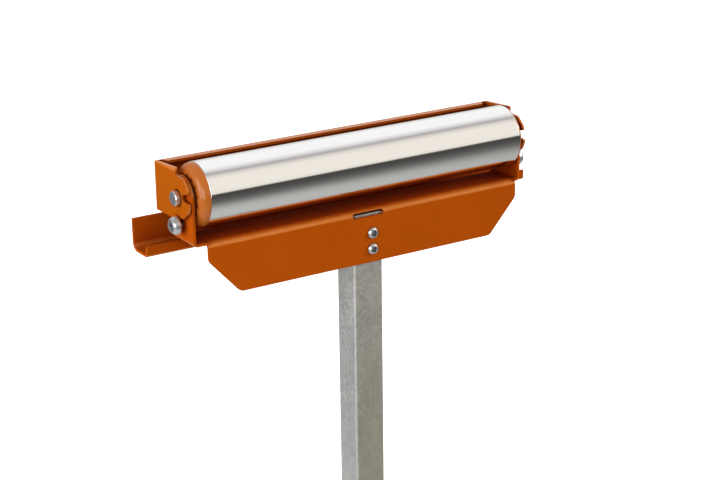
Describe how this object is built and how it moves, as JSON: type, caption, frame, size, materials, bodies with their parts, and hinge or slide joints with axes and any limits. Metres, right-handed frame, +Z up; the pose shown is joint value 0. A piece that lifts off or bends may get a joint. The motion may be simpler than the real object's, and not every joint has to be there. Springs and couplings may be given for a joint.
{
  "type": "roller stand",
  "caption": "Work support stand: chrome roller on bearings in a folded steel head with a flip-over guard and rear gutter rail, on a telescoping square post with a bolted leg base.",
  "frame": {"origin": "on the floor under the middle of the column, at the bottom centre of the bounding box", "axes": "+Z up the column, +X along the roller, -Y to the front, where the apron is"},
  "size_m": [0.5, 0.5, 0.945],
  "materials": {
    "orange_coat": "satin powder coat",
    "orange_plastic": "moulded, slightly glossy",
    "roller_chrome": "polished chrome plate",
    "galvanised": "mottled zinc coat",
    "zinc_steel": "bright zinc plate",
    "pad_brass": "turned brass",
    "black_plastic": "matt moulded",
    "foot_rubber": "matt rubber"
  },
  "bodies": {
    "base": {"outer_column": "orange_coat", "column_bush": "black_plastic", "column_end_cap": "black_plastic", "clamp_boss": "orange_coat", "leg_front": "orange_coat", "leg_rear": "orange_coat", "leg_left": "orange_coat", "leg_right": "orange_coat", "foot_front": "foot_rubber", "foot_rear": "foot_rubber", "foot_left": "foot_rubber", "foot_right": "foot_rubber", "leg_bolts": "zinc_steel", "leg_washers": "zinc_steel", "leg_nuts": "zinc_steel", "foot_screws": "zinc_steel", "foot_nuts": "zinc_steel"},
    "mast": {"inner_post": "galvanised", "post_plug": "black_plastic", "head_bracket": "orange_coat", "screw_plate": "galvanised", "apron_screws": "zinc_steel", "gutter_rail": "orange_coat", "rail_rivets": "galvanised", "roller_axle": "zinc_steel", "axle_clips": "zinc_steel", "axle_spacers": "zinc_steel", "bearing_inner_rings": "zinc_steel", "bearing_balls": "zinc_steel", "stop_screws": "zinc_steel"},
    "roller": {"roller_tube": "roller_chrome", "roller_cap_left": "orange_plastic", "roller_cap_right": "orange_plastic", "bearing_outer_rings": "zinc_steel"},
    "guard": {"guard_plate": "orange_coat"},
    "pad": {"clamp_pad": "pad_brass"},
    "knob": {"clamp_screw": "zinc_steel", "clamp_knob": "black_plastic"}
  },
  "joints": [
    {"name": "height_slide", "type": "slide", "parent": "base", "child": "mast", "axis": [0, 0, 1], "range_m": [-0.23, 0.1]},
    {"name": "roller_spin", "type": "hinge", "parent": "mast", "child": "roller", "pos_m": [0, 0.00175, 0.915], "axis": [1, 0, 0], "continuous": true},
    {"name": "guard_turn", "type": "hinge", "parent": "mast", "child": "guard", "pos_m": [0, 0.00175, 0.915], "axis": [1, 0, 0], "range_deg": [0, 180]},
    {"name": "clamp_feed", "type": "slide", "parent": "base", "child": "pad", "axis": [1, 0, 0], "range_m": [0, 0.0015]},
    {"name": "clamp_turn", "type": "hinge", "parent": "pad", "child": "knob", "pos_m": [0.02, 0, 0.5323], "axis": [1, 0, 0], "range_deg": [0, 360]}
  ],
  "couplings": [
    {"joint": "clamp_turn", "follows": "clamp_feed", "rad_per_m": 4188}
  ]
}
